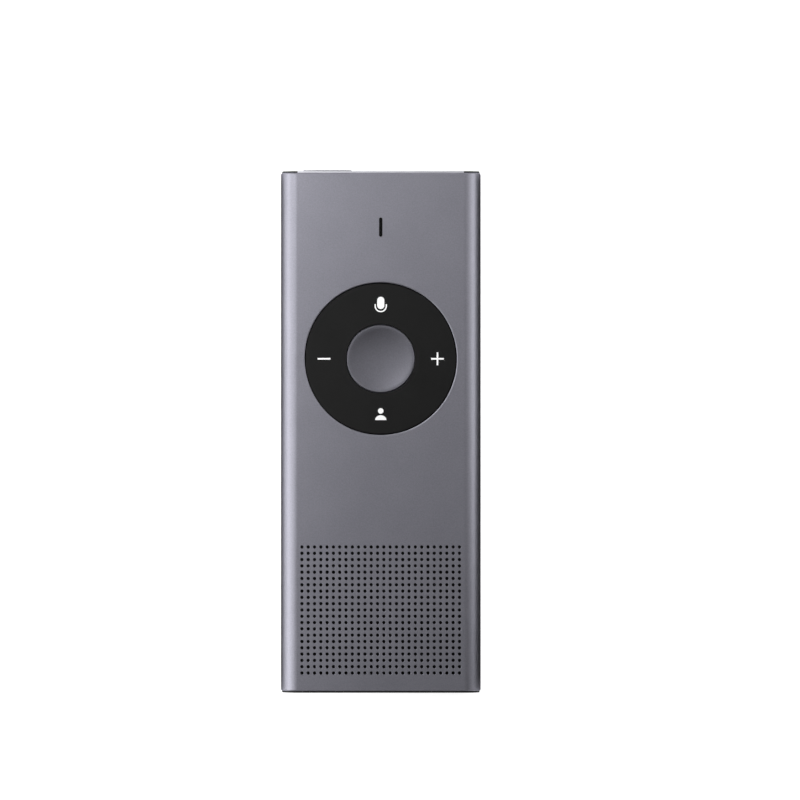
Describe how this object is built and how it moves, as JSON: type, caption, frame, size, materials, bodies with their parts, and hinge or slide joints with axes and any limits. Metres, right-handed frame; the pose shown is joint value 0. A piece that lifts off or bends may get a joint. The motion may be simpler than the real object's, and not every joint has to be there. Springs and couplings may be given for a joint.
{
  "type": "handheld translator",
  "caption": "Slim metal bar with a rocking ring key, a dished centre key, a drilled speaker field and a power button on its end.",
  "frame": {"origin": "middle of the flat back face that it lies on", "axes": "+X to the right across the front, +Y along the length towards the power button, +Z out of the front face"},
  "size_m": [0.0476, 0.1245, 0.012],
  "materials": {
    "anodised_grey": "fine bead-blasted grey anodising",
    "black_plastic": "matt black moulded plastic",
    "ring_plastic": "satin black moulded plastic",
    "key_metal": "satin turned grey anodising",
    "button_plastic": "satin grey anodising",
    "stamped_steel": "bright stamped sheet",
    "screw_steel": "blackened steel",
    "circuit_board": "solder-resist green",
    "tray_plastic": "dark grey moulded plastic",
    "smoked_plastic": "smoked clear plastic",
    "chip_plastic": "black moulding compound",
    "mesh_fabric": "fine black acoustic cloth",
    "foam_rubber": "black closed-cell foam",
    "magnet_metal": "plated steel",
    "cone_paper": "black pressed film",
    "tape_film": "double-sided adhesive tape",
    "battery_film": "aluminium-laminate pouch",
    "cable_film": "amber polyimide film",
    "contact_metal": "gold-plated spring"
  },
  "bodies": {
    "housing": {"sleeve_housing": "anodised_grey", "top_end_cap": "black_plastic", "bottom_end_cap": "black_plastic", "key_bracket": "stamped_steel", "key_domes": "stamped_steel", "main_board": "circuit_board", "inner_tray": "tray_plastic", "bracket_screws": "screw_steel", "cap_screws": "screw_steel", "power_switch": "stamped_steel", "indicator_light_pipe": "smoked_plastic", "indicator_light": "chip_plastic", "dust_mesh": "mesh_fabric", "speaker_gasket": "foam_rubber", "speaker_frame": "tray_plastic", "speaker_magnet_block": "magnet_metal", "speaker_cone": "cone_paper", "charging_socket_shell": "stamped_steel", "charging_socket_tongue": "chip_plastic", "charging_board": "circuit_board", "shield_can": "stamped_steel", "battery_tape": "tape_film", "battery": "battery_film", "battery_foam": "foam_rubber", "battery_circuit": "circuit_board", "battery_connector": "chip_plastic", "top_microphone": "magnet_metal", "bottom_microphone": "magnet_metal", "flat_cable": "cable_film", "speaker_springs": "contact_metal", "processor": "chip_plastic", "memory_chip": "chip_plastic", "radio_module": "magnet_metal", "antenna": "cable_film"},
    "pivot_frame": {"ring_pivot_frame": "stamped_steel"},
    "ring": {"ring_key": "ring_plastic"},
    "centre_key_body": {"centre_key": "key_metal"},
    "power_button_body": {"power_button": "button_plastic"}
  },
  "joints": [
    {"name": "ring_rock_up_down", "type": "hinge", "parent": "housing", "child": "pivot_frame", "pos_m": [0, 0.0174, 0.0086], "axis": [1, 0, 0], "range_deg": [-1.1, 1.1], "stiffness_Nm_per_rad": 0.1},
    {"name": "ring_rock_left_right", "type": "hinge", "parent": "pivot_frame", "child": "ring", "pos_m": [0, 0.0174, 0.0089], "axis": [0, 1, 0], "range_deg": [-1.1, 1.1], "stiffness_Nm_per_rad": 0.1},
    {"name": "centre_key_press", "type": "slide", "parent": "housing", "child": "centre_key_body", "axis": [0, 0, -1], "range_m": [0, 0.00025], "stiffness_N_per_m": 600},
    {"name": "power_button_press", "type": "slide", "parent": "housing", "child": "power_button_body", "axis": [0, -1, 0], "range_m": [0, 0.00025], "stiffness_N_per_m": 400}
  ]
}
